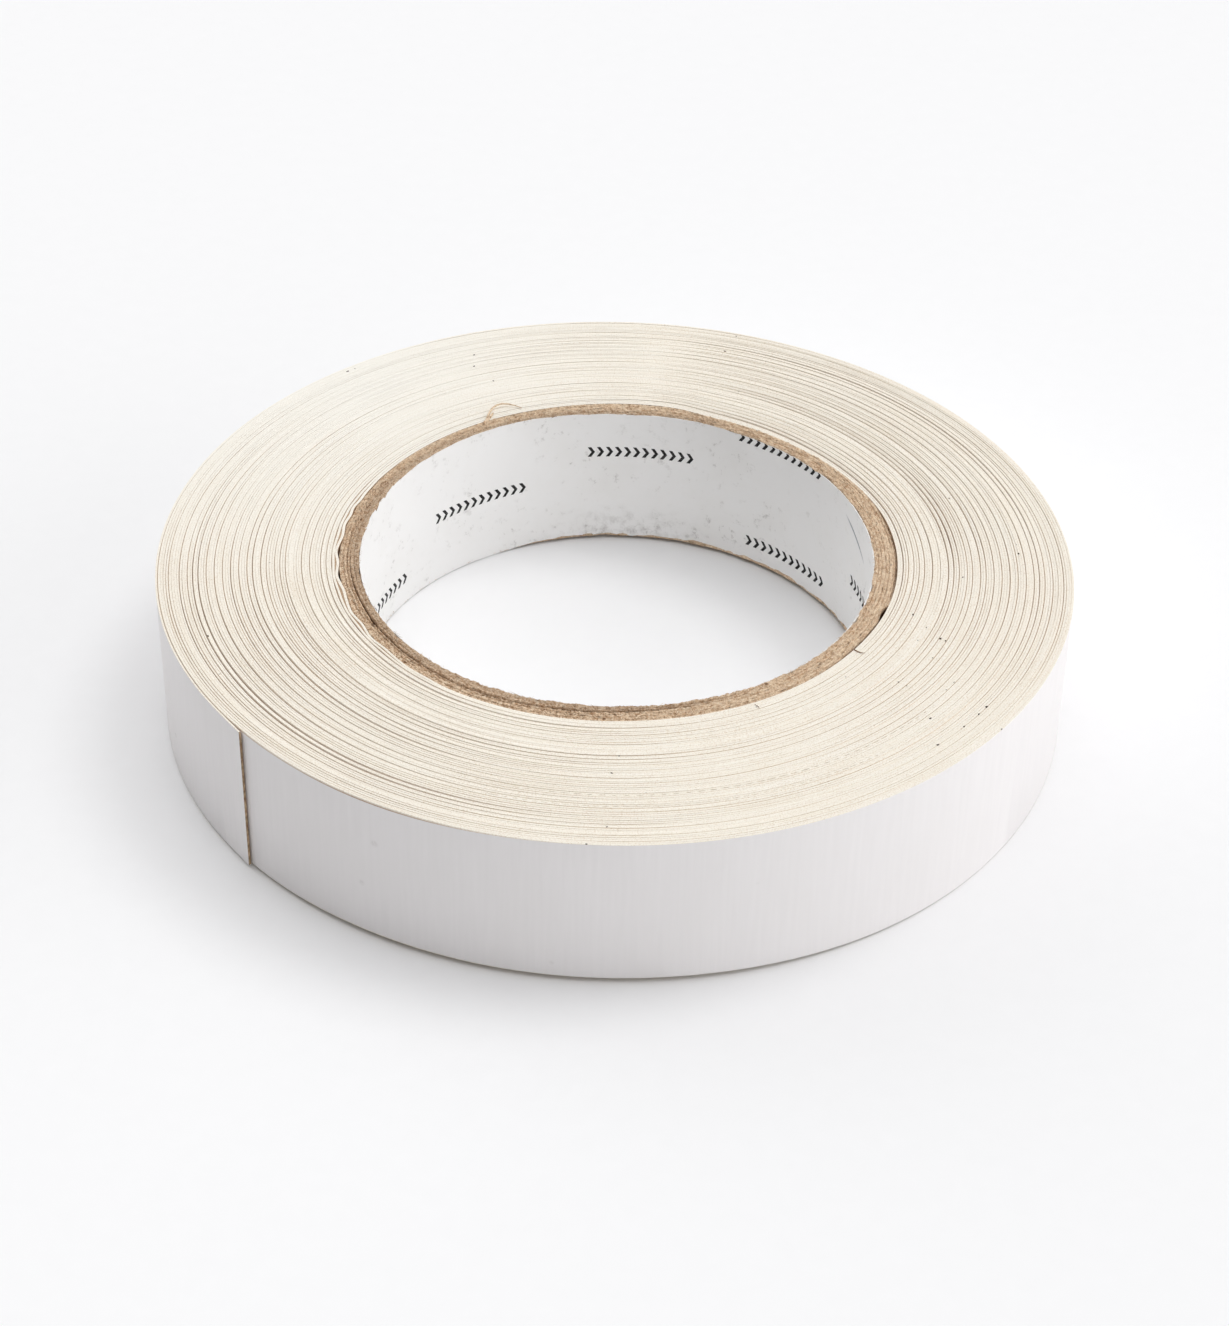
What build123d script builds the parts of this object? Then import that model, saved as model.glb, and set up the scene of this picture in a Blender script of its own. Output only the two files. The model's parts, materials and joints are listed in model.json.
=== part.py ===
from build123d import *
import math
import os

# A roll of paper tape on a board core, lying on its side. Millimetres, +Z up.
# The origin is on the roll's axis, in the plane that the roll rests on.

# Driving dimensions
TAPE_WIDTH = 24.0            # the strip's width, and so the height of the roll
BORE_RADIUS = 38.1           # a 3 inch core
LINER_THICKNESS = 0.15       # printed paper glued round the inside of the core
CORE_PLIES = 6
CORE_PLY_THICKNESS = 0.525   # one strip of kraft board
WRAPS = 67                   # turns of the strip round the core
ADHESIVE_THICKNESS = 0.085
BACKING_THICKNESS = 0.295
STRIP_END_ANGLE = 221.3      # where the cut end lies, degrees round from +X
TAIL_ARC = 22.0              # the part of the last turn that lifts, degrees

# Sizes that follow from them
PITCH = ADHESIVE_THICKNESS + BACKING_THICKNESS
PLY_BORE = BORE_RADIUS + LINER_THICKNESS
CORE_RADIUS = PLY_BORE + CORE_PLIES * CORE_PLY_THICKNESS
TAIL_START = 180 - TAIL_ARC

# The strip's plan is drawn with its local +X towards the cut end.
STRIP_PLANE = Plane.XY.rotated((0, 0, STRIP_END_ANGLE))
# Each turn is two half circles. The first is about the core's axis, and the second is about
# a point half a turn's growth along +X, so it ends one pitch further out than the turn began.
SECOND_CENTRE = (PITCH / 2, 0)


def first_half(turn, depth):
    """The first half of a turn, on the surface that is this depth above the strip's inner face."""
    return CenterArc((0, 0), CORE_RADIUS + turn * PITCH + depth, 0, 180)


def second_half(turn, depth, start=0, size=180):
    """The second half of a turn, or the stretch of it that starts and runs by these angles."""
    radius = CORE_RADIUS + (turn + 0.5) * PITCH + depth
    return CenterArc(SECOND_CENTRE, radius, 180 + start, size)


def wound_layer(inner, outer):
    """The outline of one layer of the strip, from its end on the core to the root of the tail."""
    last = WRAPS - 1
    for depth in (inner, outer):
        for turn in range(WRAPS):
            first_half(turn, depth)
        for turn in range(last):
            second_half(turn, depth)
    inner_root = second_half(last, inner, size=TAIL_START)
    outer_root = second_half(last, outer, size=TAIL_START)
    Line(inner_root @ 1, outer_root @ 1)
    Line((CORE_RADIUS + inner, 0), (CORE_RADIUS + outer, 0))


def tail_layer(inner, outer):
    """The outline of one layer of the tail, from its root to the cut end."""
    inner_face = second_half(WRAPS - 1, inner, start=TAIL_START, size=TAIL_ARC)
    outer_face = second_half(WRAPS - 1, outer, start=TAIL_START, size=TAIL_ARC)
    Line(inner_face @ 0, outer_face @ 0)
    Line(inner_face @ 1, outer_face @ 1)


os.makedirs("parts", exist_ok=True)

# Core liner: the printed paper that is the wall of the bore
with BuildPart() as core_liner:
    with BuildSketch(Plane.XY):
        Circle(PLY_BORE)
        Circle(BORE_RADIUS, mode=Mode.SUBTRACT)
    extrude(amount=TAPE_WIDTH)
core_liner.part.label = "core_liner"
export_step(core_liner.part, "parts/core_liner.step")

# Core: plies of kraft board, each glued round the one inside it
for number in range(CORE_PLIES):
    ply_inner = PLY_BORE + number * CORE_PLY_THICKNESS
    with BuildPart() as core_ply:
        with BuildSketch(Plane.XY):
            Circle(ply_inner + CORE_PLY_THICKNESS)
            Circle(ply_inner, mode=Mode.SUBTRACT)
        extrude(amount=TAPE_WIDTH)
    core_ply.part.label = f"core_ply_{number + 1}"
    export_step(core_ply.part, f"parts/core_ply_{number + 1}.step")

# Wound strip, adhesive: the inner side of every turn
with BuildPart() as tape_adhesive:
    with BuildSketch(STRIP_PLANE):
        with BuildLine():
            wound_layer(0, ADHESIVE_THICKNESS)
        make_face()
    extrude(amount=TAPE_WIDTH)
tape_adhesive.part.label = "tape_adhesive"
export_step(tape_adhesive.part, "parts/tape_adhesive.step")

# Wound strip, backing: the outer side of every turn
with BuildPart() as tape_backing:
    with BuildSketch(STRIP_PLANE):
        with BuildLine():
            wound_layer(ADHESIVE_THICKNESS, PITCH)
        make_face()
    extrude(amount=TAPE_WIDTH)
tape_backing.part.label = "tape_backing"
export_step(tape_backing.part, "parts/tape_backing.step")

# Tail, adhesive: the same layer where it lifts off the roll
with BuildPart() as tail_adhesive:
    with BuildSketch(STRIP_PLANE):
        with BuildLine():
            tail_layer(0, ADHESIVE_THICKNESS)
        make_face()
    extrude(amount=TAPE_WIDTH)
tail_adhesive.part.label = "tail_adhesive"
export_step(tail_adhesive.part, "parts/tail_adhesive.step")

# Tail, backing: the layer that the user takes hold of
with BuildPart() as tail_backing:
    with BuildSketch(STRIP_PLANE):
        with BuildLine():
            tail_layer(ADHESIVE_THICKNESS, PITCH)
        make_face()
    extrude(amount=TAPE_WIDTH)
tail_backing.part.label = "tail_backing"
export_step(tail_backing.part, "parts/tail_backing.step")

# The peel line: the tail turns about the outer corner of its root
tail_radius = CORE_RADIUS + (WRAPS + 0.5) * PITCH
root_angle = math.radians(180 + TAIL_START)
peel_line = STRIP_PLANE.from_local_coords(
    Vector(PITCH / 2 + tail_radius * math.cos(root_angle), tail_radius * math.sin(root_angle), 0)
)
strip_length = math.pi * sum(2 * CORE_RADIUS + (2 * turn + 1) * PITCH for turn in range(WRAPS))
print(f"core radius {CORE_RADIUS:.3f}, outer radius {CORE_RADIUS + WRAPS * PITCH:.3f}")
print(f"peel line at {peel_line.X:.5f}, {peel_line.Y:.5f}")
print(f"strip length {strip_length / 1000:.2f} m")
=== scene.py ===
import json
import math

import bpy
import numpy as np
from mathutils import Matrix, Vector


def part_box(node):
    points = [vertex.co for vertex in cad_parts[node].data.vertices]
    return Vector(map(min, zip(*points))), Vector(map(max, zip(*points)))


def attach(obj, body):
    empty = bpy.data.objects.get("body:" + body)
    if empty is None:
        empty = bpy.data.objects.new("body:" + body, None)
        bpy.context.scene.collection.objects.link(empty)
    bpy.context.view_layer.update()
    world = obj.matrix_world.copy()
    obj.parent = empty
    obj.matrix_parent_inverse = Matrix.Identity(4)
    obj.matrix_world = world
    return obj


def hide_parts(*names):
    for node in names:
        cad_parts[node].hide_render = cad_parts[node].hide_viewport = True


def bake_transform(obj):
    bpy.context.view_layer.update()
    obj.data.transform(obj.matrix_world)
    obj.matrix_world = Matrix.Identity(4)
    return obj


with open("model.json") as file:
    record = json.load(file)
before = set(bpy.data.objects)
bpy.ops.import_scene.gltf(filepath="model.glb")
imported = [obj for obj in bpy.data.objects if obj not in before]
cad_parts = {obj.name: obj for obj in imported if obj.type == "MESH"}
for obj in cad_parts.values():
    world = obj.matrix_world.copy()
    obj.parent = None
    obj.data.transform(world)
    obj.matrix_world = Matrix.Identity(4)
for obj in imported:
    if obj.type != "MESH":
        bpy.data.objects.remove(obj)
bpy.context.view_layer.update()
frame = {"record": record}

# A worn roll of white faced paper tape on a board core. Sizes are in millimetres and degrees, round
# the roll's axis, and place() turns them into points in metres.
MM = 0.001

# ---------------------------------------------------------------- sizes from the frame
BORE = next(m for m in frame["record"]["mounts"] if m["name"] == "bore")["dims"]["r_mm"]
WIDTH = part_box("core_liner")[1].z / MM
LINER_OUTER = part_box("core_liner")[1].x / MM
PLY_NAMES = [f"core_ply_{n}" for n in range(1, 7)]
PLY_OUTERS = [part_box(name)[1].x / MM for name in PLY_NAMES]
CORE_OUTER = PLY_OUTERS[-1]

# ---------------------------------------------------------------- the strip
# phi is how far along the strip a place is, in degrees of winding from where it starts.
ADHESIVE = 0.085
BACKING = 0.295
PITCH = ADHESIVE + BACKING
START_ANGLE = 84.0           # where the strip starts on the core
END_ANGLE = 221.3            # where its cut end shows on the outside
FULL_TURNS = 66
LAST_PHI = 360 * FULL_TURNS + END_ANGLE - START_ANGLE
TAIL_PHI = LAST_PHI - 91     # from here on the strip is the tail, a piece of its own
RAMP = 60                    # each turn climbs over the strip's thin start in this many degrees
OUTER = CORE_OUTER + PITCH * (FULL_TURNS + 1)

# The roll is a little out of round. Each list has (angle, how far the surface stands out), for the
# top of the bore, for the core's outside and for the roll's outside. The last turn is off centre too.
BORE_ROUNDNESS = ((0, -0.3), (30, -0.4), (60, -0.6), (76, -0.1), (90, -0.35), (100, 0.0), (110, 0.25),
                  (120, 0.35), (145, -0.3), (165, -0.6), (178, -0.55), (192, -0.4), (225, -0.3),
                  (240, -0.15), (256, -0.4), (272, -0.5), (290, -0.3), (320, -0.15), (342, -0.2))
CORE_ROUNDNESS = ((0, -0.1), (15, -0.25), (34, -0.95), (45, -1.3), (60, -1.42), (70, -1.4),
                  (73, -1.05), (76, -0.66), (80, -0.55), (90, -0.55), (105, -0.72), (120, -0.75),
                  (139, -0.98), (160, -1.15), (176, -1.1), (186, -0.9), (196, -0.85), (209, -0.74),
                  (218, -0.66), (232, -0.28), (240, -0.08), (252, -0.05), (265, -0.16), (275, -0.3),
                  (290, -0.23), (318, -0.2), (341, -0.1))
ROLL_ROUNDNESS = ((0, 0.65), (40, 0.28), (64, 0.05), (90, 0.35), (115, 0.5), (180, 0.2),
                  (215, 0.0), (240, 0.1), (265, 0.05), (318, 0.4))
OFF_CENTRE = (-0.19, -1.04)

# The innermost turns have buckled and come slack on the left: (angle, how far off the core).
BUCKLES = ((157, 0.0), (160, 0.08), (163, 0.0), (165.5, 0.32), (168.7, 0.04), (172, 0.34), (176.3, 0.0),
           (182, 0.5), (186.2, 0.06), (190.7, 0.5), (196.3, 0.0), (204, 0.42), (208.8, 0.0),
           (213.6, 0.42), (218, 0.05), (226, 0.24), (231, 0.06), (236, 0.14), (242, 0.0))
SLACK = ((0, 0.03), (14, 0.06), (26, 0.0), (150, 0.0), (165, 0.32), (200, 0.42), (226, 0.24),
         (244, 0.0), (292, 0.0), (300, 0.04), (345, 0.04))
# The outermost ply is worn back from the first turn: (angle, how far).
WORN = ((0, 0.0), (306, 0.0), (316, 0.1), (324, 0.25), (333, 0.25), (335.5, 0.14), (337, 0.26),
        (339, 0.56), (340.8, 0.5), (342, 0.0))
# The grooves between the turns: (angle, how far they stand open).
GROOVES = ((0, 0.42), (20, 0.8), (40, 1.0), (58, 0.9), (75, 0.5), (90, 0.25), (105, 0.1), (140, 0.1),
           (160, 0.18), (180, 0.29), (200, 0.6), (220, 1.0), (240, 0.95), (258, 0.35), (275, 0.08),
           (290, 0.03), (305, 0.04), (322, 0.12), (338, 0.26))
# The path of the split beside the board's second ply: (angle, how far it wanders off the joint).
SPLIT = ((0, 0.0), (120, 0.0), (150, 0.3), (187, 0.55), (198, 0.45), (207, 0.4), (214, 0.5),
         (225, 0.55), (240, 0.6), (252, 0.45), (259, 0.25), (271, 0.1), (283, -0.2), (300, 0.0))


def ring_curve(points, blur=4.0):
    """A smooth function of the angle through a few (angle, value) pairs, closed round the circle."""
    angles, values = np.array(points, float).T
    grid = np.arange(0, 360, 0.5)
    line = np.interp(grid, angles, values, period=360)
    kernel = np.exp(-0.5 * (np.minimum(grid, 360 - grid) / blur) ** 2)
    line = np.real(np.fft.ifft(np.fft.fft(line) * np.fft.fft(kernel / kernel.sum())))
    return lambda angle: np.interp(np.asarray(angle) % 360, grid, line, period=360)


def drift(seed, spacing, length=LAST_PHI + 720):
    """Smooth random wandering along the strip, about 1 either way, that changes over this spacing."""
    values = np.random.default_rng(seed).normal(size=int(length / spacing) + 6)

    def at(phi):
        step = np.maximum(np.asarray(phi, float), 0) / spacing + 1
        low = np.clip(step.astype(int), 1, len(values) - 3)
        t = step - low
        a, b, c, d = (values[low + k] for k in (-1, 0, 1, 2))
        return b + 0.5 * t * (c - a + t * (2 * a - 5 * b + 4 * c - d + t * (3 * (b - c) + d - a)))

    return at


def window(angle, start, end, soft=8.0):
    """1 between two angles and 0 outside, with soft ends."""
    middle, half = (start + end) / 2, (end - start) / 2
    off = np.abs((np.asarray(angle) - middle + 180) % 360 - 180)
    t = np.clip((half + soft / 2 - off) / soft, 0, 1)
    return t * t * (3 - 2 * t)


bore_roundness = ring_curve(BORE_ROUNDNESS, blur=3.0)
core_roundness = ring_curve(CORE_ROUNDNESS, blur=2.0)
roll_roundness = ring_curve(ROLL_ROUNDNESS, blur=6.0)
buckles = ring_curve(BUCKLES, blur=0.8)
slack = ring_curve(SLACK, blur=1.5)
worn = ring_curve(WORN, blur=0.7)
groove_profile = ring_curve(GROOVES, blur=6.0)
split_path = ring_curve(SPLIT, blur=3.0)


def place(radius, angle, height):
    """Points in the part's frame, in metres, with the roll's out of round shape put in."""
    across_core = np.clip((radius - BORE) / (CORE_OUTER - BORE), 0, 1)
    across_roll = np.clip((radius - CORE_OUTER) / (OUTER - CORE_OUTER), 0, 1)
    rolled_in = np.clip((np.asarray(height) - 15.0) / 8.0, 0, 1) ** 2
    out = radius + (1 - across_core) * bore_roundness(angle) * rolled_in
    out = out + across_core * core_roundness(angle) * (1 - across_roll) ** 3
    out = out + across_roll * roll_roundness(angle)
    shift = np.clip((radius - BORE) / (OUTER - BORE), 0, 1)
    turn = np.radians(angle)
    x = out * np.cos(turn) + OFF_CENTRE[0] * shift
    y = out * np.sin(turn) + OFF_CENTRE[1] * shift
    return np.stack(np.broadcast_arrays(x, y, height), -1) * MM


# ---------------------------------------------------------------- mesh building
def build(name, points, closed, materials, body="roll", face_material=None, end_material=0, sharp=35):
    """A solid swept through stations: points has the shape (stations, profile points, 3).

    closed joins the last station to the first. face_material gives each side's material slot and
    end_material the two ends' slot. Edges sharper than sharp degrees stay crisp.
    """
    count, profile = points.shape[:2]
    mesh = bpy.data.meshes.new(name)
    along = np.arange(count if closed else count - 1)
    s, p = np.meshgrid(along, np.arange(profile), indexing="ij")
    ahead, beside = (s + 1) % count, (p + 1) % profile
    quads = np.stack([s * profile + p, ahead * profile + p,
                      ahead * profile + beside, s * profile + beside], -1).reshape(-1, 4)
    faces = quads.tolist()
    if not closed:
        faces.append(list(range(profile)))
        faces.append(list(range(count * profile - 1, (count - 1) * profile - 1, -1)))
    mesh.from_pydata(points.reshape(-1, 3).tolist(), [], faces)
    for material in materials:
        mesh.materials.append(material)
    if face_material is not None:
        slots = np.tile(np.array(face_material, np.int32), len(along))
        ends = [end_material] * (len(faces) - len(slots))
        mesh.polygons.foreach_set("material_index", np.concatenate([slots, ends]).astype(np.int32))
    mesh.shade_smooth()
    mesh.set_sharp_from_angle(angle=math.radians(sharp))
    piece = bpy.data.objects.new(name, mesh)
    bpy.context.scene.collection.objects.link(piece)
    if body:
        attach(piece, body)
    return piece


def strands(name, paths, thick, material, node, sides=3):
    """Thin tapered strands as one piece: paths has the shape (strands, points, 3), in metres."""
    count, length = paths.shape[:2]
    ahead = np.gradient(paths, axis=1)
    ahead = ahead / np.linalg.norm(ahead, axis=-1, keepdims=True)
    across = np.cross(ahead, (0.31, 0.17, 0.93))
    across = across / np.linalg.norm(across, axis=-1, keepdims=True)
    other = np.cross(ahead, across)
    turn = np.arange(sides) * 2 * math.pi / sides
    taper = 1 - 0.7 * (np.linspace(0, 1, length) ** 3)
    size = (np.asarray(thick).reshape(-1, 1) * taper * MM)[:, :, None, None]
    ring = paths[:, :, None] + size * (np.cos(turn)[:, None] * across[:, :, None]
                                       + np.sin(turn)[:, None] * other[:, :, None])
    n, s, p = np.meshgrid(np.arange(count), np.arange(length - 1), np.arange(sides), indexing="ij")
    base, beside = (n * length + s) * sides, (p + 1) % sides
    quads = np.stack([base + p, base + sides + p, base + sides + beside, base + beside], -1)
    faces = quads.reshape(-1, 4).tolist()
    for start in range(0, count * length * sides, length * sides):
        faces.append(list(range(start + sides - 1, start - 1, -1)))
        last = start + (length - 1) * sides
        faces.append(list(range(last, last + sides)))
    mesh = bpy.data.meshes.new(name)
    mesh.from_pydata(ring.reshape(-1, 3).tolist(), [], faces)
    mesh.materials.append(material)
    mesh.shade_smooth()
    piece = bpy.data.objects.new(name, mesh)
    bpy.context.scene.collection.objects.link(piece)
    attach(piece, "roll")
    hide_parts(node)


# ---------------------------------------------------------------- node helpers
class Shader:
    """A material under construction: each call adds a node and gives back its output."""

    def __init__(self, name):
        self.material = bpy.data.materials.new(name)
        self.material.use_nodes = True
        self.nodes = self.material.node_tree.nodes
        self.links = self.material.node_tree.links
        self.nodes.clear()
        self.surface = self.nodes.new("ShaderNodeBsdfPrincipled")
        output = self.nodes.new("ShaderNodeOutputMaterial")
        self.links.new(self.surface.outputs["BSDF"], output.inputs["Surface"])
        self.position = self.nodes.new("ShaderNodeTexCoord").outputs["Object"]
        split = self.nodes.new("ShaderNodeSeparateXYZ")
        self.links.new(self.position, split.inputs[0])
        self.x, self.y, self.z = split.outputs
        self._polar = None

    def put(self, value, socket):
        """Link an output to an input, or set the input to a plain value."""
        if isinstance(value, bpy.types.NodeSocket):
            self.links.new(value, socket)
        elif value is not None:
            socket.default_value = value

    def math(self, operation, a, b=None, c=None):
        """One sum on two or three values."""
        node = self.nodes.new("ShaderNodeMath")
        node.operation = operation
        for value, socket in zip((a, b, c), node.inputs):
            self.put(value, socket)
        return node.outputs[0]

    def polar(self):
        """(radius, angle in radians from -pi to pi) about the roll's axis."""
        if self._polar is None:
            square = self.math("ADD", self.math("MULTIPLY", self.x, self.x),
                               self.math("MULTIPLY", self.y, self.y))
            self._polar = (self.math("SQRT", square), self.math("ARCTAN2", self.y, self.x))
        return self._polar

    def vector(self, x, y, z):
        """A place given by three values."""
        node = self.nodes.new("ShaderNodeCombineXYZ")
        for value, socket in zip((x, y, z), node.inputs):
            self.put(value, socket)
        return node.outputs[0]

    def noise(self, scale, detail=2.0, roughness=0.5, where=None):
        """Noise about 0.5, with this many features to a metre."""
        node = self.nodes.new("ShaderNodeTexNoise")
        node.inputs["Scale"].default_value = scale
        node.inputs["Detail"].default_value = detail
        node.inputs["Roughness"].default_value = roughness
        self.put(self.position if where is None else where, node.inputs["Vector"])
        return node.outputs["Fac"]

    def span(self, value, low, high, to_low=0.0, to_high=1.0):
        """A value from one range to another, held at the ends."""
        node = self.nodes.new("ShaderNodeMapRange")
        for given, socket in zip((value, low, high, to_low, to_high), node.inputs):
            self.put(given, socket)
        return node.outputs[0]

    def mix(self, share, a, b):
        """Colour a where the share is 0, and b where it is 1."""
        node = self.nodes.new("ShaderNodeMix")
        node.data_type = "RGBA"
        self.put(share, node.inputs[0])
        for value, socket in ((a, node.inputs[6]), (b, node.inputs[7])):
            self.put(value, socket)
        return node.outputs[2]

    def bump(self, height, distance, strength=1.0, under=None):
        """Fine relief, this many metres deep, over the relief under it."""
        node = self.nodes.new("ShaderNodeBump")
        node.inputs["Strength"].default_value = strength
        node.inputs["Distance"].default_value = distance
        self.put(height, node.inputs["Height"])
        if under is not None:
            self.links.new(under, node.inputs["Normal"])
        return node.outputs[0]

    def depth(self, low, high, most):
        """Rises to most from one height down to a lower one. It is 0 again at the roll's foot."""
        down = self.span(self.z, low * MM, high * MM, most, 0.0)
        return self.math("MULTIPLY", down, self.span(self.z, 1 * MM, 3 * MM))

    def spot(self, angle, radius, height, size, soft=0.5):
        """1 within a small ball at a place on the roll, fading to 0 at its rim."""
        node = self.nodes.new("ShaderNodeVectorMath")
        node.operation = "DISTANCE"
        self.links.new(self.position, node.inputs[0])
        node.inputs[1].default_value = place(radius, angle, height)
        return self.span(node.outputs["Value"], soft * size * MM, size * MM, 1.0, 0.0)

    def finish(self, colour, roughness, normal=None, specular=0.3):
        """Puts the surface together and gives back the material."""
        self.put(colour, self.surface.inputs["Base Color"])
        self.put(roughness, self.surface.inputs["Roughness"])
        self.surface.inputs["Specular IOR Level"].default_value = specular
        if normal is not None:
            self.links.new(normal, self.surface.inputs["Normal"])
        return self.material


def srgb(red, green, blue):
    """A colour given in 0 to 255 steps of the display, as the shader's linear light."""
    def linear(step):
        part = step / 255
        return part / 12.92 if part <= 0.04045 else ((part + 0.055) / 1.055) ** 2.4

    return (linear(red), linear(green), linear(blue), 1.0)


# ---------------------------------------------------------------- materials
def tape_edge_material():
    """The slit edges of the turns: cream, soft and fibrous, with specks of dirt. Painted shade turns them
    brown where they lie low in the grooves, and painted light whitens them at the back left.
    """
    m = Shader("tape_edge")
    radius, angle = m.polar()
    rings = m.noise(2300, detail=3.0, where=m.vector(radius, m.math("MULTIPLY", angle, 0.0016), 0))
    fibres = m.noise(4300, detail=4.0, roughness=0.7)
    clouds = m.noise(110, detail=2.0)
    colour = m.mix(m.span(rings, 0.36, 0.64), srgb(250, 242, 228), srgb(254, 248, 237))
    colour = m.mix(m.span(fibres, 0.32, 0.5, 0.9, 0.0), colour, srgb(224, 206, 182))
    colour = m.mix(m.span(clouds, 0.35, 0.7, 0.0, 0.3), colour, srgb(253, 248, 236))
    # Painted light: the edges are whiter toward the back left.
    back_left_light = m.math("MULTIPLY", m.span(m.y, -10 * MM, 45 * MM), m.span(m.x, -40 * MM, 8 * MM, 0.7, 0.0))
    colour = m.mix(back_left_light, colour, srgb(252, 250, 243))
    # Painted shade: the edges turn warm brown where they lie low in the grooves.
    colour = m.mix(m.depth(23.68, 23.88, 0.85), colour, srgb(176, 134, 102))
    specks = m.nodes.new("ShaderNodeTexVoronoi")
    specks.inputs["Scale"].default_value = 520
    m.put(m.position, specks.inputs["Vector"])
    dusty = m.span(m.math("ABSOLUTE", m.math("ADD", angle, 0.58)), 0.1, 0.45, 0.6, 0.7)
    chosen = m.math("GREATER_THAN", m.noise(170, detail=1.0), dusty)
    near = m.span(specks.outputs["Distance"], 0.05, 0.1, 0.9, 0.0)
    colour = m.mix(m.math("MULTIPLY", near, chosen), colour, srgb(84, 66, 50))
    normal = m.bump(fibres, 0.0001, 1.0)
    return m.finish(colour, m.span(fibres, 0.3, 0.7, 0.95, 0.8), normal, specular=0.15)


# Scuffs on the outer face: (angle, height, size).
FACE_MARKS = ((242, 17.0, 0.8), (240, 9.2, 0.7), (263.5, 3.0, 0.6), (287, 15.5, 0.5), (200, 6.5, 0.5))


def tape_face_material():
    """The white outer face of the paper: satin, with very faint upright lines and a few scuffs."""
    m = Shader("tape_face")
    angle = m.polar()[1]
    crepe = m.noise(1500, detail=2.0, where=m.vector(m.math("MULTIPLY", angle, 0.067), 0,
                                                     m.math("MULTIPLY", m.z, 0.05)))
    grain = m.noise(7000, detail=2.0)
    clouds = m.noise(60, detail=3.0)
    colour = m.mix(m.span(crepe, 0.3, 0.7), srgb(243, 240, 240), srgb(246, 243, 243))
    colour = m.mix(m.span(clouds, 0.4, 0.7, 0.0, 0.4), colour, srgb(242, 239, 238))
    for where, height, size in FACE_MARKS:
        smudge = m.math("MULTIPLY", m.spot(where, OUTER, height, size, soft=0.2), m.span(grain, 0.35, 0.6))
        colour = m.mix(m.math("MULTIPLY", smudge, 0.5), colour, srgb(176, 170, 166))
    normal = m.bump(crepe, 0.00004, 0.35)
    normal = m.bump(grain, 0.00002, 0.35, under=normal)
    return m.finish(colour, m.span(clouds, 0.3, 0.7, 0.52, 0.64), normal, specular=0.3)


def tape_inside_material():
    """The paper's face inside the roll, seen only down the grooves, coloured a darker warm tan as painted
    shade.
    """
    m = Shader("tape_inside")
    tone = m.noise(1500, detail=2.0)
    return m.finish(m.mix(tone, srgb(214, 190, 166), srgb(230, 210, 188)), 0.85, specular=0.1)


def adhesive_material():
    """Natural rubber adhesive: tan, and a little glossy where it shows."""
    m = Shader("adhesive")
    lumps = m.noise(2400, detail=2.0)
    colour = m.mix(m.span(lumps, 0.3, 0.7), srgb(170, 140, 112), srgb(204, 178, 150))
    return m.finish(colour, m.span(lumps, 0.3, 0.7, 0.4, 0.65), m.bump(lumps, 0.00003, 0.6), specular=0.3)


def dust_and_shade_end_material():
    """The cut end of the strip, brown with adhesive and dust that hands have left, darkened further as
    painted shade.
    """
    m = Shader("dust_and_shade_end")
    dirt = m.noise(1500, detail=3.0)
    # Painted shade: the cut end is drawn dark brown, darker than its adhesive and dust alone.
    colour = m.mix(m.span(dirt, 0.35, 0.65), srgb(132, 108, 84), srgb(192, 168, 138))
    return m.finish(colour, 0.8, m.bump(dirt, 0.0001, 0.8), specular=0.2)


def kraft_material():
    """Brown board: matted fibres with darker and lighter flecks. Painted shade darkens it on the left and
    where it lies low beside the split, and painted light makes it paler at the right and the back.
    """
    m = Shader("kraft_board")
    radius, angle = m.polar()
    flecks = m.noise(3400, detail=3.0, roughness=0.8)
    mottle = m.noise(1500, detail=4.0, roughness=0.7)
    layers = m.noise(2600, detail=2.0, roughness=0.6,
                     where=m.vector(radius, m.math("MULTIPLY", angle, 0.009), m.math("MULTIPLY", m.z, 0.3)))
    colour = m.mix(m.span(mottle, 0.36, 0.64), srgb(208, 170, 134), srgb(247, 222, 192))
    # Painted shade: more dark flecks toward the left, so the board's left side reads darker.
    left_shade = m.span(m.x, -5 * MM, 25 * MM, 1.0, 0.45)
    dark = m.math("MULTIPLY", m.span(flecks, 0.34, 0.47, 0.9, 0.0), left_shade)
    colour = m.mix(dark, colour, srgb(118, 78, 50))
    colour = m.mix(m.span(flecks, 0.52, 0.64, 0.0, 0.9), colour, srgb(255, 240, 218))
    colour = m.mix(m.span(layers, 0.61, 0.71, 0.0, 0.7), colour, srgb(112, 80, 54))
    # Painted shade on the inner rim at the left.
    left, inmost = m.span(m.x, 0.0, 20 * MM, 1.0, 0.0), m.span(radius, 38.6 * MM, 39.4 * MM, 1.0, 0.0)
    left_rim_shade = m.math("MULTIPLY", m.math("MULTIPLY", left, inmost), 0.36)
    colour = m.mix(left_rim_shade, colour, srgb(140, 112, 90))
    # Painted light: the board turns paler toward the right and the back, most toward its outer side.
    rim = m.math("MAXIMUM", m.span(m.x, 0.0, 34 * MM, 0.0, 0.5), m.span(m.y, 0.0, 30 * MM, 0.0, 0.9))
    pale = m.math("MULTIPLY", rim, m.span(radius, 38.6 * MM, 40.0 * MM, 0.3, 0.9))
    colour = m.mix(m.math("MULTIPLY", pale, m.span(mottle, 0.3, 0.6)), colour, srgb(250, 228, 200))
    # Painted shade: dark brown where the board's top lies low, beside the split and at the sunken rim.
    colour = m.mix(m.depth(23.15, 23.6, 0.95), colour, srgb(78, 42, 18))
    normal = m.bump(flecks, 0.00022, 1.0)
    return m.finish(colour, 0.95, normal, specular=0.1)


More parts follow.
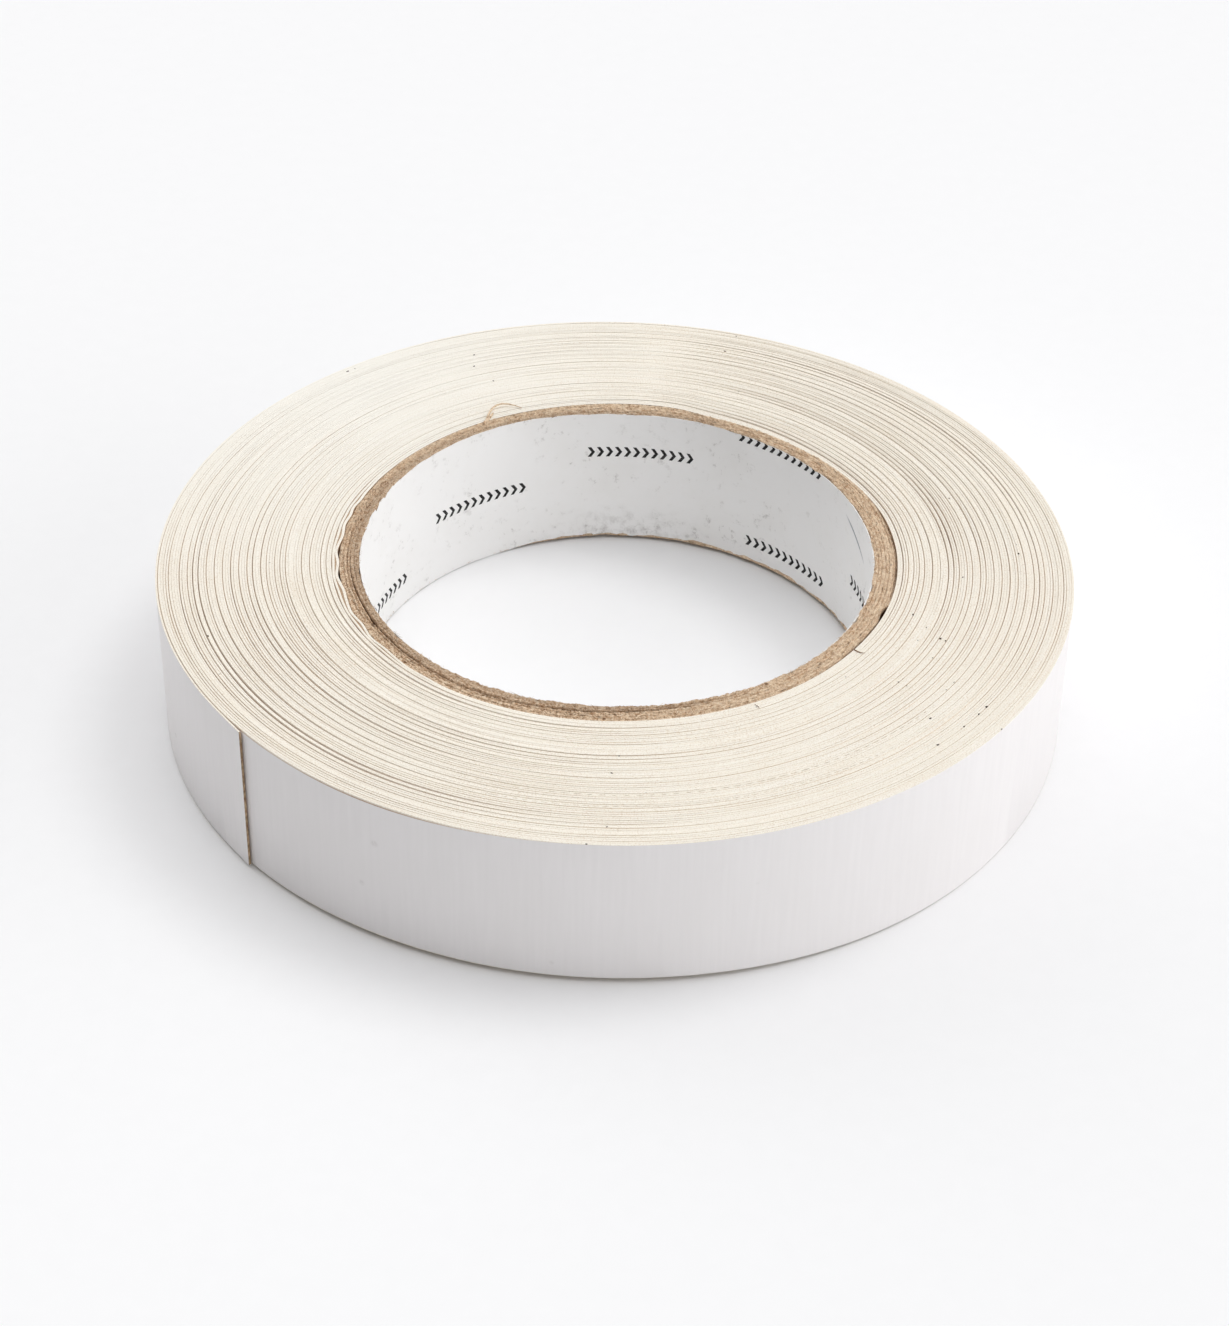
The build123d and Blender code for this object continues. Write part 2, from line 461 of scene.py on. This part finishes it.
def pen_stroke(m, angle, worn_ink):
    """A slanted stroke of blue pen, from 0 to 1. Angles are in radians and heights in metres."""
    path = m.math("MULTIPLY_ADD", angle, 0.0187, 0.0131)
    across = m.span(m.math("ABSOLUTE", m.math("SUBTRACT", m.z, path)), 0.00008, 0.00035, 0.8, 0.0)
    along = m.span(m.math("ABSOLUTE", m.math("SUBTRACT", angle, 0.305)), 0.05, 0.11, 1.0, 0.0)
    return m.math("MULTIPLY", m.math("MULTIPLY", across, along), worn_ink)


def liner_material():
    """White printed paper inside the core: smooth, greyer in patches low down at the back and flecked grey,
    with one pen stroke.
    """
    m = Shader("liner_paper")
    angle = m.polar()[1]
    clouds = m.noise(95, detail=4.0, roughness=0.6)
    grain = m.noise(5200, detail=2.0)
    blotches = m.noise(650, detail=4.0, roughness=0.75)
    colour = m.mix(m.span(clouds, 0.45, 0.7, 0.0, 0.45), srgb(250, 249, 248), srgb(241, 239, 236))
    # Greyer in patches low down on the back of the bore's wall.
    low = m.span(m.z, 1.5 * MM, 7.0 * MM, 1.0, 0.0)
    behind = m.span(m.math("ABSOLUTE", m.math("SUBTRACT", angle, 1.53)), 0.12, 0.4, 1.0, 0.0)
    low_back_grey = m.math("MULTIPLY", m.math("MULTIPLY", low, behind), m.span(blotches, 0.46, 0.66, 0.0, 0.45))
    colour = m.mix(low_back_grey, colour, srgb(172, 168, 164))
    flecks = m.math("MULTIPLY", m.span(blotches, 0.58, 0.7, 0.0, 0.5), m.span(clouds, 0.42, 0.6))
    colour = m.mix(flecks, colour, srgb(168, 164, 160))
    colour = m.mix(pen_stroke(m, angle, m.span(blotches, 0.3, 0.5, 0.3, 1.0)), colour, srgb(84, 88, 110))
    return m.finish(colour, 0.55, m.bump(grain, 0.00002, 0.4), specular=0.25)


def stray_material():
    """A dark brown loose fibre."""
    m = Shader("stray_fibre")
    tone = m.noise(1800, detail=2.0)
    return m.finish(m.mix(tone, srgb(104, 70, 44), srgb(150, 108, 72)), 0.8, specular=0.2)


def dirt_material():
    """Near black grit."""
    m = Shader("dirt")
    return m.finish(m.mix(m.noise(3000), srgb(48, 36, 28), srgb(92, 72, 54)), 0.9, specular=0.1)


def ink_material():
    """Dark printing ink, worn thin in places."""
    m = Shader("print_ink")
    worn = m.noise(2600, detail=3.0)
    return m.finish(m.mix(m.span(worn, 0.5, 0.72, 0.0, 0.5), srgb(30, 28, 28), srgb(96, 94, 93)),
                    0.6, specular=0.2)


TAPE_EDGE = tape_edge_material()
TAPE_FACE = tape_face_material()
TAPE_INSIDE = tape_inside_material()
ADHESIVE_PAINT = adhesive_material()
DUST_AND_SHADE_END = dust_and_shade_end_material()
KRAFT = kraft_material()
LINER_PAPER = liner_material()
INK = ink_material()
STRAY = stray_material()
DIRT = dirt_material()

# ---------------------------------------------------------------- the wound strip
edge_drift = drift(11, 60)        # how a turn's edge stands up or down
edge_detail = drift(12, 9)
turn_drift = drift(18, 330)       # how single turns stand
stack_drift = drift(13, 1300)     # how whole groups of turns stand
groove_drift = drift(14, 115)     # how open the groove inside a turn is
groove_detail = drift(15, 16)
under_drift = drift(16, 50)
# Two grooves toward the front are a row of dents. Turn number: (how deep, dents to a full circle).
DENTED_TURNS = {40: (0.65, 216), 46: (0.4, 277)}
# Most slit edges lie flush. These turns stand a little apart from the one inside them.
OPEN_TURNS = (2, 4, 6, 8, 10, 13, 19, 21, 23, 26, 28, 31, 33, 36, 39, 42, 45, 48, 51, 53, 55, 58, 62, 66)
openness = np.random.default_rng(20).uniform(0.0, 0.22, FULL_TURNS + 4)
openness[list(OPEN_TURNS)] = np.random.default_rng(19).uniform(0.6, 1.0, len(OPEN_TURNS))
openness[[62, 66]] = 0.5
# Belts of turns with wider or tighter grooves: (first turn, turn after the last, times, from, to).
BELTS = ((0, 34, 1.35, 125, 180), (34, 67, 0.75, 135, 185), (16, 34, 0.7, 250, 300),
         (50, 67, 1.4, 240, 270), (0, 16, 1.2, 15, 65), (16, 34, 1.9, 0, 65), (50, 67, 1.25, 15, 65))


def strip_radius(phi):
    """The strip's inner face, phi degrees along it, before the roll's out of round shape."""
    turn = np.floor(phi / 360)
    angle = START_ANGLE + phi
    t = np.clip((phi - 360 * turn - 360 + RAMP) / RAMP, 0, 1)
    free = slack(angle) * np.clip(1 - 0.045 * turn, 0, 1)
    left = window(angle, 155, 240, soft=10)
    first = np.where(turn == 0, left, 0)
    second = np.where(turn == 1, left, 0)
    lift = free * (1 - first) + buckles(angle) * first + 0.3 * (buckles(angle) - 0.25) * second
    return CORE_OUTER + PITCH * (turn + t * t * (3 - 2 * t)) + lift


def groove(phi):
    """How open the groove on the inner side of the strip is: 0 is closed and 1 is wide open.

    Each groove narrows as the turn passes over the strip's start. Grooves that are all but closed fade
    out at the right and the front, and the dented ones are added there.
    """
    turn = np.floor(phi / 360)
    angle = START_ANGLE + phi
    seam = np.clip(np.minimum(phi % 360, 360 - phi % 360) / 8, 0.15, 1)
    share = openness[np.clip(turn, 0, len(openness) - 1).astype(int)] * seam
    right, front = window(angle, -5, 70, soft=30), window(angle, 215, 330, soft=30)
    share = np.where(share < 0.4, share * (1 - 0.45 * right - 0.8 * front), share)
    for first, last, times, start, end in BELTS:
        held = (turn >= first) & (turn < last)
        share = share * np.where(held, 1 + (times - 1) * window(angle, start, end, soft=25), 1)
    strength = share * groove_profile(angle) * (1.05 + 0.35 * groove_drift(phi) + 0.15 * groove_detail(phi))
    strength = strength + 0.03 * np.clip(groove_detail(phi), 0, 2)
    for number, (depth, count) in DENTED_TURNS.items():
        dent = np.clip(0.1 + 1.1 * np.sin(np.radians(angle * count)) + 0.4 * edge_detail(phi), 0, 1)
        strength = strength + depth * dent * (turn == number) * window(angle, 258, 312, soft=30)
    return np.clip(strength, 0, 1.3)


def top_height(phi):
    """The upper slit edge, which stands up or down a little from turn to turn."""
    ends = 0.014 * edge_drift(phi) + 0.008 * edge_detail(phi)
    ends = ends + 0.016 * turn_drift(phi) + 0.02 * stack_drift(phi)
    return WIDTH + np.clip(ends, -0.16, 0.12) - 0.02


def under_height(phi):
    """The lower edge; the outermost turns stand clear of the floor at the front left."""
    angle = START_ANGLE + phi
    clear = 0.28 * window(angle, 205, 306, soft=30) + 0.45 * window(angle, 228, 290, soft=30)
    clear = clear * np.clip((phi - LAST_PHI) / 720 + 3, 0, 1)
    return np.clip(0.07 + 0.035 * under_drift(phi), 0.0, 0.2) + clear


def backing_points(phi, curl=None):
    """The backing's section at each station, with its corners rounded where a groove is open.

    Where a groove is closed the slit edge has smeared over the adhesive under it. Before 0 the strip
    thins out to nothing under the first turn's end.
    """
    outer = strip_radius(phi) + PITCH
    inner = np.maximum(outer - BACKING, CORE_OUTER + 0.003)
    thin = np.clip((outer - inner) / BACKING, 0, 1)
    here, over = groove(phi) * thin, groove(phi + 360) * thin
    top, under = top_height(phi), under_height(phi)
    in_run, out_run = 0.01 * thin + 0.075 * here, 0.01 * thin + 0.075 * over
    in_drop, out_drop = 0.01 + 0.36 * here, 0.01 + 0.36 * over
    smear = inner - (ADHESIVE - 0.004) * np.clip(1 - 5 * here, 0, 1) * thin
    section = (
        (inner, under + 0.6 * in_drop), (inner + in_run, under),
        (outer - out_run, under), (outer, under + 0.6 * out_drop),
        (outer, top - out_drop), (outer - 0.4 * out_run, top - 0.4 * out_drop), (outer - out_run, top),
        (inner + in_run, top), (inner + 0.4 * in_run, top - 0.4 * in_drop), (smear, top - in_drop),
        (inner, top - in_drop - 0.06),
    )
    lift = 0 if curl is None else curl(phi)
    angle = START_ANGLE + phi
    return np.stack([place(r + lift, angle, z) for r, z in section], 1)


def adhesive_points(phi, curl=None):
    """The adhesive's section: a thin band, sunk where the groove is open."""
    before = np.maximum(phi - 360, 0)
    under_face = strip_radius(before) + PITCH
    inner = np.maximum(strip_radius(phi), CORE_OUTER)
    outer = np.maximum(strip_radius(phi) + ADHESIVE, CORE_OUTER + 0.003)
    inner = np.where((phi >= 360) & (phi < 1080), np.minimum(inner, under_face), inner)
    top = np.minimum(top_height(phi), top_height(before)) - 0.07 - 0.45 * groove(phi)
    under = np.maximum(under_height(phi), under_height(before)) + 0.03
    section = ((inner, under), (outer, under), (outer, top), (inner, top))
    lift = 0 if curl is None else curl(phi)
    angle = START_ANGLE + phi
    return np.stack([place(r + lift, angle, z) for r, z in section], 1)


BACKING_SLOTS = [0, 0, 0, 1, 0, 0, 0, 0, 0, 0, 0]   # only the outer face is white


def stretch(start, end, step):
    """Even stations from start to end, about a step apart."""
    return np.linspace(start, end, int(round((end - start) / step)) + 1)


def stations(start, end, step):
    """Stations along the strip, closer together where a groove is dented."""
    phi = stretch(start, end, step)
    for number in DENTED_TURNS:
        low = 360 * number + 255 - START_ANGLE
        if start < low and low + 70 < end:
            dented = stretch(low, low + 70, 0.25)
            phi = np.concatenate([phi, dented, stretch(low - 360, low - 290, 0.25)])
    return np.unique(phi)


def wound_turns():
    """The wound strip, in five pieces of some turns each, with the adhesive of each beside it."""
    thin_start = 8 - RAMP
    ends = (thin_start, 10 * 360, 30 * 360, 50 * 360, LAST_PHI - 400, TAIL_PHI)
    steps = (0.5, 1.0, 1.0, 1.0, 1.0)
    for number, (start, end, step) in enumerate(zip(ends, ends[1:], steps), start=1):
        phi = stations(start, end, step)
        face = TAPE_FACE if number == len(steps) else TAPE_INSIDE
        piece = build(f"backing_turns_{number}", backing_points(phi), False,
                      [TAPE_EDGE, face], face_material=BACKING_SLOTS)
        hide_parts("tape_backing")
        phi = stretch(start, end, step)
        piece = build(f"adhesive_turns_{number}", adhesive_points(phi), False, [ADHESIVE_PAINT])
        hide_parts("tape_adhesive")


def end_curl(phi):
    """The last few millimetres of the strip stand off the roll a little."""
    return 0.2 * np.clip((phi - (LAST_PHI - 5.0)) / 5.0, 0, 1) ** 2


def tail():
    """The end of the strip, from the peel line to the cut end, built as two pieces of its own with no
    parent.
    """
    phi = np.concatenate([stretch(TAIL_PHI, LAST_PHI - 6, 1.0), stretch(LAST_PHI - 5.75, LAST_PHI, 0.25)])
    for name, points, paints, slots, end, node, slot in (
        ("tail_backing_strip", backing_points(phi, end_curl), [TAPE_EDGE, TAPE_FACE, DUST_AND_SHADE_END],
         BACKING_SLOTS, 2, "tail_backing", "backing_paper"),
        ("tail_adhesive_strip", adhesive_points(phi, end_curl), [ADHESIVE_PAINT, DUST_AND_SHADE_END],
         [0, 0, 0, 0], 1, "tail_adhesive", "adhesive"),
    ):
        piece = build(name, points, False, paints, body=None, face_material=slots, end_material=end)
        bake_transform(piece)
        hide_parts(node)


# ---------------------------------------------------------------- the core
PLY_STEP = 0.4               # degrees between stations round the board
WALL_HEIGHTS = (1.6, 8.0, 14.0, 16.5, 18.0, 19.3, 20.4, 21.4, 22.3)
CORE_DROP = 0.2              # how far the cut board lies under the tape's edge
LINER_DROP = 0.14            # and the liner under the board
SPLIT_WIDTH = 0.27
# A ply's rough top, from its outer side to its inner: (share of the way out, how far it drops).
PLY_TOP = ((1.0, 0.07), (0.88, 0.03), (0.7, 0.0), (0.5, 0.0), (0.3, 0.0), (0.12, 0.03), (0.0, 0.08))


def core_top(angle):
    """The height of the cut board, a little more at the back right."""
    return WIDTH - CORE_DROP + 0.1 * window(angle, 20, 76, soft=16)


def ply_outer(number, outer, angle):
    """Where a ply ends: the split wanders, and the outermost ply follows the buckled first turn."""
    if number == 2:
        return outer + split_path(angle)
    if number == 1 or number == 3:
        return outer + 0.7 * split_path(angle)
    if number == 6:
        hollow = window(angle, 180, 184, soft=3) + window(angle, 188.6, 192.8, soft=3)
        return outer + buckles(angle) * (0.85 - 0.4 * hollow) - worn(angle)
    return outer + 0 * angle


def open_depth(angle, number, share):
    """How far the board's fibres have sunk beside the split, and the one small hole in it."""
    beside = {2: share, 3: 1 - share}.get(number, 0.0) ** 8
    hole = window(angle, 207.6, 209.6, soft=0.8) * (1.0 if number == 3 and share < 0.6 else 0.0)
    return 2.4 * beside * window(angle, 196, 284, soft=24) + 2.2 * hole


def at_the_back(angle):
    """1 at the back right, where the core's lower rim is frayed and stands off the floor."""
    return window(angle, -8, 108, soft=30)


def ply_gap(number, angle, fine):
    """The space between a ply and the next: a glue line, or the split outside the second ply."""
    gap = 0.012 + 0 * angle
    if number == 2:
        gap = gap + SPLIT_WIDTH * window(angle, 196, 284, soft=40) * (0.75 + 0.25 * np.clip(fine, -1, 1))
    return gap


def ply_rows(number, angle, inner, outer):
    """A ply's section at each station, as (radius, height) rows: foot, outer side, rough top, wall."""
    rng = np.random.default_rng(40 + number)
    seam = window(angle, 3, 357, 6)
    slow = drift(50 + number, 24, 420)(angle) * seam
    fine = drift(60 + number, 2.2, 420)(angle) * seam
    gap = ply_gap(number, angle, fine)
    tuck, ragged, low_rim = 0.0, 0 * angle, 0.0
    if number == 1:
        tuck = (-0.10 + 0.08 * fine) * at_the_back(angle)
        ragged = (0.09 * drift(81, 3.1, 420)(angle) + 0.05 * drift(82, 1.1, 420)(angle)) * seam
    if number == 6:
        low_rim = 0.33 * window(angle, 342, 376, soft=8)
    wide = outer - inner
    top = core_top(angle) + 0.05 * slow
    foot = 0.14 + 0.05 * np.abs(fine) + 0.4 * at_the_back(angle)
    rows = [(inner + 0.01, foot + 0.6), (inner + tuck, foot + 0.3), (inner + tuck, foot),
            (outer - 0.3 * wide, foot), (outer - 0.02, foot + 0.05), (outer - 0.005, 22.0)]
    for share, drop in PLY_TOP:
        rough = 0.075 * rng.normal(size=len(angle)) + 0.02 * fine - low_rim * (share > 0.4)
        rough = rough - 0.35 * open_depth(angle, number, share)
        step_in = gap * max(0, (share - 0.4) / 0.6)
        rim = ragged * (1 - share)
        rows.append((inner + share * wide - step_in + rim, top - drop + rough))
    rows += [(inner + 0.01, z) for z in WALL_HEIGHTS[::-1]]
    return rows


def core_plies():
    """Each ply is a ring of board with a rough cut top, and the second has come away from the third."""
    angle = np.arange(0, 360, PLY_STEP)
    inner = LINER_OUTER + 0 * angle
    for number, (node, nominal) in enumerate(zip(PLY_NAMES, PLY_OUTERS), start=1):
        outer = ply_outer(number, nominal, angle)
        rows = ply_rows(number, angle, inner, outer)
        points = np.stack([place(r, angle, z) for r, z in rows], 1)
        piece = build(f"{node}_board", points, True, [KRAFT], sharp=60)
        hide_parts(node)
        inner = outer


def liner_radius(angle, height):
    """The liner's wall, which is not quite flat against the board."""
    buckle = drift(71, 17, 420)(angle) * window(angle, 6, 354, 12)
    return BORE - 0.03 * buckle * np.sin(math.pi * height / WIDTH)


def liner():
    """The printed paper inside the core, with a frayed lower edge that stops short of the floor."""
    angle = np.arange(0, 360, 0.75)
    fray = drift(72, 1.7, 420)(angle)
    back = at_the_back(angle)
    low = 0.12 + (0.02 + 0.13 * back) * fray + 0.1 * drift(73, 9, 420)(angle) * back + 0.9 * back
    top = core_top(angle) - LINER_DROP + 0.03 * fray
    heights = [low] + [z + 0 * angle for z in WALL_HEIGHTS] + [top]
    wall = [(liner_radius(angle, z), z) for z in heights]
    behind = [(LINER_OUTER + 0 * angle, z) for z in heights]
    points = np.stack([place(r, angle, z) for r, z in behind + wall[::-1]], 1)
    piece = build("core_liner_paper", points, True, [LINER_PAPER], sharp=50)
    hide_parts("core_liner")


# The liner carries a repeated row of plain arrow marks: (angle, height) of each row's middle.
PRINT_ROWS = ((161.7, 4.7), (125.1, 11.5), (84.3, 16.6), (47.0, 23.5), (44.3, 4.3), (6.5, 10.4))
MARKS_IN_ROW = 12
MARK_HEIGHT = 1.8
MARK_PITCH = 1.44
MARK_LEAN = 0.62             # how far a mark's point lies ahead of its two ends
BAR_WIDTH = 0.56
INK_FACES = (-0.006, 0.014)  # how far the ink's two faces stand off the paper


def clipped(outline, limit):
    """The part of an outline of (along, height) corners that lies below a height."""
    kept = []
    for (u0, z0), (u1, z1) in zip(outline, outline[1:] + outline[:1]):
        if z0 <= limit:
            kept.append((u0, z0))
        if (z0 <= limit) != (z1 <= limit):
            t = (limit - z0) / (z1 - z0)
            kept.append((u0 + t * (u1 - u0), limit))
    return kept


def ink_bar(outline, middle, corners, faces):
    """Adds an outline of (along, height) corners on the bore's wall as a thin prism of ink."""
    first, size = len(corners), len(outline)
    for stand in INK_FACES:
        for along, z in outline:
            angle = middle - math.degrees(along / BORE)
            wall = liner_radius(np.array([angle % 360]), z)[0]
            corners.append(place(wall - stand, angle, z).tolist())
    faces.append([first + k for k in range(size)][::-1])
    faces.append([first + size + k for k in range(size)])
    for k in range(size):
        n = (k + 1) % size
        faces.append([first + k, first + n, first + size + n, first + size + k])


def liner_print():
    """Rows of small arrow heads, each two slanted bars, cut off where the liner ends."""
    corners, faces = [], []
    for middle, height in PRINT_ROWS:
        limit = float(core_top(middle)) - LINER_DROP
        for number in range(MARKS_IN_ROW):
            start = (number - MARKS_IN_ROW / 2) * MARK_PITCH
            point = start + MARK_LEAN
            for end in (height - MARK_HEIGHT / 2, height + MARK_HEIGHT / 2):
                bar = [(start, end), (start + BAR_WIDTH, end), (point + BAR_WIDTH, height), (point, height)]
                bar = clipped(bar, limit)
                if len(bar) >= 3:
                    ink_bar(bar, middle, corners, faces)
    mesh = bpy.data.meshes.new("liner_print")
    mesh.from_pydata(corners, [], faces)
    mesh.materials.append(INK)
    piece = bpy.data.objects.new("liner_print", mesh)
    bpy.context.scene.collection.objects.link(piece)
    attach(piece, "roll")
    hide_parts("core_liner")


# The board's loose fibres: (name, how many, radius from and to, height from and to above the board's
# top, how far they lean in, how far they rise, how thick).
FUZZ = (("rim_fuzz", 1500, LINER_OUTER - 0.05, LINER_OUTER + 0.4, -0.25, 0.0, 0.30, 0.10, 0.020),
        ("top_fuzz", 1500, LINER_OUTER + 0.3, CORE_OUTER - 0.1, -0.05, 0.02, 0.05, 0.14, 0.018),
        ("foot_fuzz", 500, LINER_OUTER - 0.15, LINER_OUTER, -23.5, -23.2, 0.22, -0.10, 0.022))


def board_fuzz():
    """Loose paper fibres round the cut rims of the board and over its top."""
    rng = np.random.default_rng(90)
    share = np.linspace(0, 1, 5)[None, :]
    for name, count, near, far, low, high, inward, rise, thick in FUZZ:
        angle = rng.uniform(0, 360, (count, 1))
        radius = rng.uniform(near, far, (count, 1))
        length = rng.uniform(0.25, 0.8, (count, 1))
        swing = rng.normal(0, 1.0, (count, 1)) * length
        bend = rng.normal(0, 0.35, (count, 1)) * length
        in_by = rng.uniform(0.0, 1.0, (count, 1)) * inward * length / 0.5
        lift = rng.uniform(-0.2, 1.0, (count, 1)) * rise
        around = angle + np.degrees((swing * share + bend * share ** 2) / radius)
        height = core_top(angle) + rng.uniform(low, high, (count, 1)) + lift * (share - 0.5 * share ** 2)
        paths = place(radius - in_by * share + 0.4 * bend * share * (1 - share), around, height)
        strands(name, paths, rng.uniform(0.7, 1.3, count) * thick, KRAFT, "core_ply_1")


# Grains of dirt lodged in the grooves: (angle, radius).
GRAINS = ((314.7, 62.3), (319.9, 62.3), (323.2, 62.3), (325.1, 62.3), (322.5, 66.4), (318.2, 58.0),
          (324.9, 56.1), (327.1, 56.1), (330.6, 51.2), (335.8, 51.2), (336.0, 50.4), (333.7, 47.8),
          (337.9, 47.8), (340.6, 45.2), (316.8, 44.3), (1.3, 59.0), (3.5, 59.0), (354.1, 50.7),
          (201.6, 61.4), (267.4, 66.4), (269.6, 62.9), (270.0, 52.2), (271.1, 48.7), (297.6, 42.5),
          (73.1, 65.9), (73.5, 60.5), (131.0, 65.8), (112.9, 60.0), (114.2, 56.7), (113.0, 51.4))


def stray_fibres():
    """Two dark fibres lying on the edge at the front right."""
    share = np.linspace(0, 1, 9)
    long = place(41.5 + 1.7 * share, 324.7 - 0.6 * np.sin(2.2 * share) + 0.6 * share, 24.02 + 0.15 * share)
    short = place(42.0 + 1.2 * share, 297.6 + 0.25 * np.sin(3 * share), 24.03 + 0.12 * share)
    strands("stray_fibres", np.stack([long, short]), [0.075, 0.04], STRAY, "core_ply_6",
            sides=5)


def torn_sliver():
    """A curled sliver of board torn from the core's rim at the back left."""
    share = np.linspace(0, 1, 9)
    curl = place(41.2 + 2.7 * np.sin(2.75 * share), 121.0 - 9.5 * share, 23.85 + 0.7 * np.sin(2.7 * share))
    shred = place(40.9 + 1.6 * share, 121.5 - 3.5 * share, 23.85 + 0.4 * share)
    strands("torn_sliver", np.stack([curl, shred]), [0.17, 0.26], KRAFT, "core_ply_6",
            sides=5)


def dirt_grains():
    """Small oblong grains, each lying along its groove."""
    rng = np.random.default_rng(97)
    angle, radius = np.array(GRAINS).T[:, :, None]
    size = rng.uniform(0.09, 0.17, len(GRAINS))
    along = np.linspace(-1, 1, 4)[None, :] * size[:, None]
    aslant = rng.uniform(-0.5, 0.5, (len(GRAINS), 1)) * along
    grains = place(radius + aslant, angle + np.degrees(along / radius) * 1.2, 23.98)
    strands("dirt_grains", grains, 0.8 * size, DIRT, "tape_backing", sides=5)


wound_turns()
tail()
core_plies()
liner()
liner_print()
board_fuzz()
stray_fibres()
torn_sliver()
dirt_grains()

# ---------------------------------------------------------------- floor, light and camera
# Broad soft lights round the roll: (direction, height, how tight, how strong).
SOFT_LIGHTS = ((0, 90, 8, 1.97), (0, 12, 6, 1.82), (135, 12, 6, 0.87), (315, 12, 6, 1.24),
               (120, 35, 8, 1.31), (180, 35, 8, 0.28), (60, 35, 8, 0.22))
FLOOR_REACH = 6.0            # metres from the roll to the floor's edge
KEY_STRENGTH = 0.54
KEY_SPREAD = 25
KEY_TILT = 30                # degrees off the vertical
KEY_TURN = 30                # and round from +X


def surround():
    """A studio of broad soft lights, painted as smooth glows on the world."""
    world = bpy.data.worlds.new("surround")
    world.use_nodes = True
    nodes, links = world.node_tree.nodes, world.node_tree.links
    facing = nodes.new("ShaderNodeVectorMath")
    facing.operation = "NORMALIZE"
    links.new(nodes.new("ShaderNodeTexCoord").outputs["Generated"], facing.inputs[0])
    total = None
    for azimuth, height, tight, strong in SOFT_LIGHTS:
        a, h = math.radians(azimuth), math.radians(height)
        toward = nodes.new("ShaderNodeVectorMath")
        toward.operation = "DOT_PRODUCT"
        links.new(facing.outputs["Vector"], toward.inputs[0])
        toward.inputs[1].default_value = (math.cos(h) * math.cos(a), math.cos(h) * math.sin(a), math.sin(h))
        value = toward.outputs["Value"]
        for operation, number in (("MAXIMUM", 0.0), ("POWER", tight), ("MULTIPLY", strong)):
            step = nodes.new("ShaderNodeMath")
            step.operation = operation
            links.new(value, step.inputs[0])
            step.inputs[1].default_value = number
            value = step.outputs[0]
        if total is not None:
            add = nodes.new("ShaderNodeMath")
            links.new(total, add.inputs[0])
            links.new(value, add.inputs[1])
            value = add.outputs[0]
        total = value
    links.new(total, nodes["Background"].inputs["Strength"])
    nodes["Background"].inputs["Color"].default_value = (1.0, 1.0, 1.0, 1.0)
    bpy.context.scene.world = world


def studio():
    """A plain pale floor under broad soft lights, with one gentle key from the right and behind."""
    mesh = bpy.data.meshes.new("floor")
    corners = [(x * FLOOR_REACH, y * FLOOR_REACH, 0) for x, y in ((-1, -1), (1, -1), (1, 1), (-1, 1))]
    mesh.from_pydata(corners, [], [(0, 1, 2, 3)])
    floor = bpy.data.objects.new("floor", mesh)
    bpy.context.scene.collection.objects.link(floor)
    m = Shader("floor_paper")
    grain = m.noise(300, detail=2.0)
    mesh.materials.append(m.finish(m.mix(grain, srgb(246, 246, 247), srgb(248, 248, 249)), 1.0,
                                   specular=0.0))

    key = bpy.data.lights.new("key", "SUN")
    key.energy = KEY_STRENGTH
    key.angle = math.radians(KEY_SPREAD)
    lamp = bpy.data.objects.new("key", key)
    lamp.rotation_euler = (0, math.radians(KEY_TILT), math.radians(KEY_TURN))
    bpy.context.scene.collection.objects.link(lamp)
    surround()
    bpy.context.scene.view_settings.view_transform = "Standard"


CAMERA_DISTANCE = 454.1      # from the part's origin
CAMERA_RISE = 36.94          # how far round towards the top the camera stands, from the front
CAMERA_PITCH = -36.63        # which way it looks, from level
CAMERA_ROLL = 0.986
CAMERA_LENS = 81.1


def camera():
    """A long lens from the front, looking down on the roll."""
    rise, pitch, roll = (math.radians(v) for v in (CAMERA_RISE, CAMERA_PITCH, CAMERA_ROLL))
    forward = Vector((0, math.cos(pitch), math.sin(pitch)))
    right = Vector((1, 0, 0))
    up = right.cross(forward)
    tilted_right = math.cos(roll) * right + math.sin(roll) * up
    tilted_up = -math.sin(roll) * right + math.cos(roll) * up
    data = bpy.data.cameras.new("camera")
    data.lens = CAMERA_LENS
    data.clip_start = 0.01
    view = bpy.data.objects.new("camera", data)
    turn = Matrix((tilted_right, tilted_up, -forward)).transposed().to_4x4()
    spot = Vector((0, -math.cos(rise), math.sin(rise))) * CAMERA_DISTANCE * MM
    view.matrix_world = Matrix.Translation(spot) @ turn
    bpy.context.scene.collection.objects.link(view)
    bpy.context.scene.camera = view


studio()
camera()
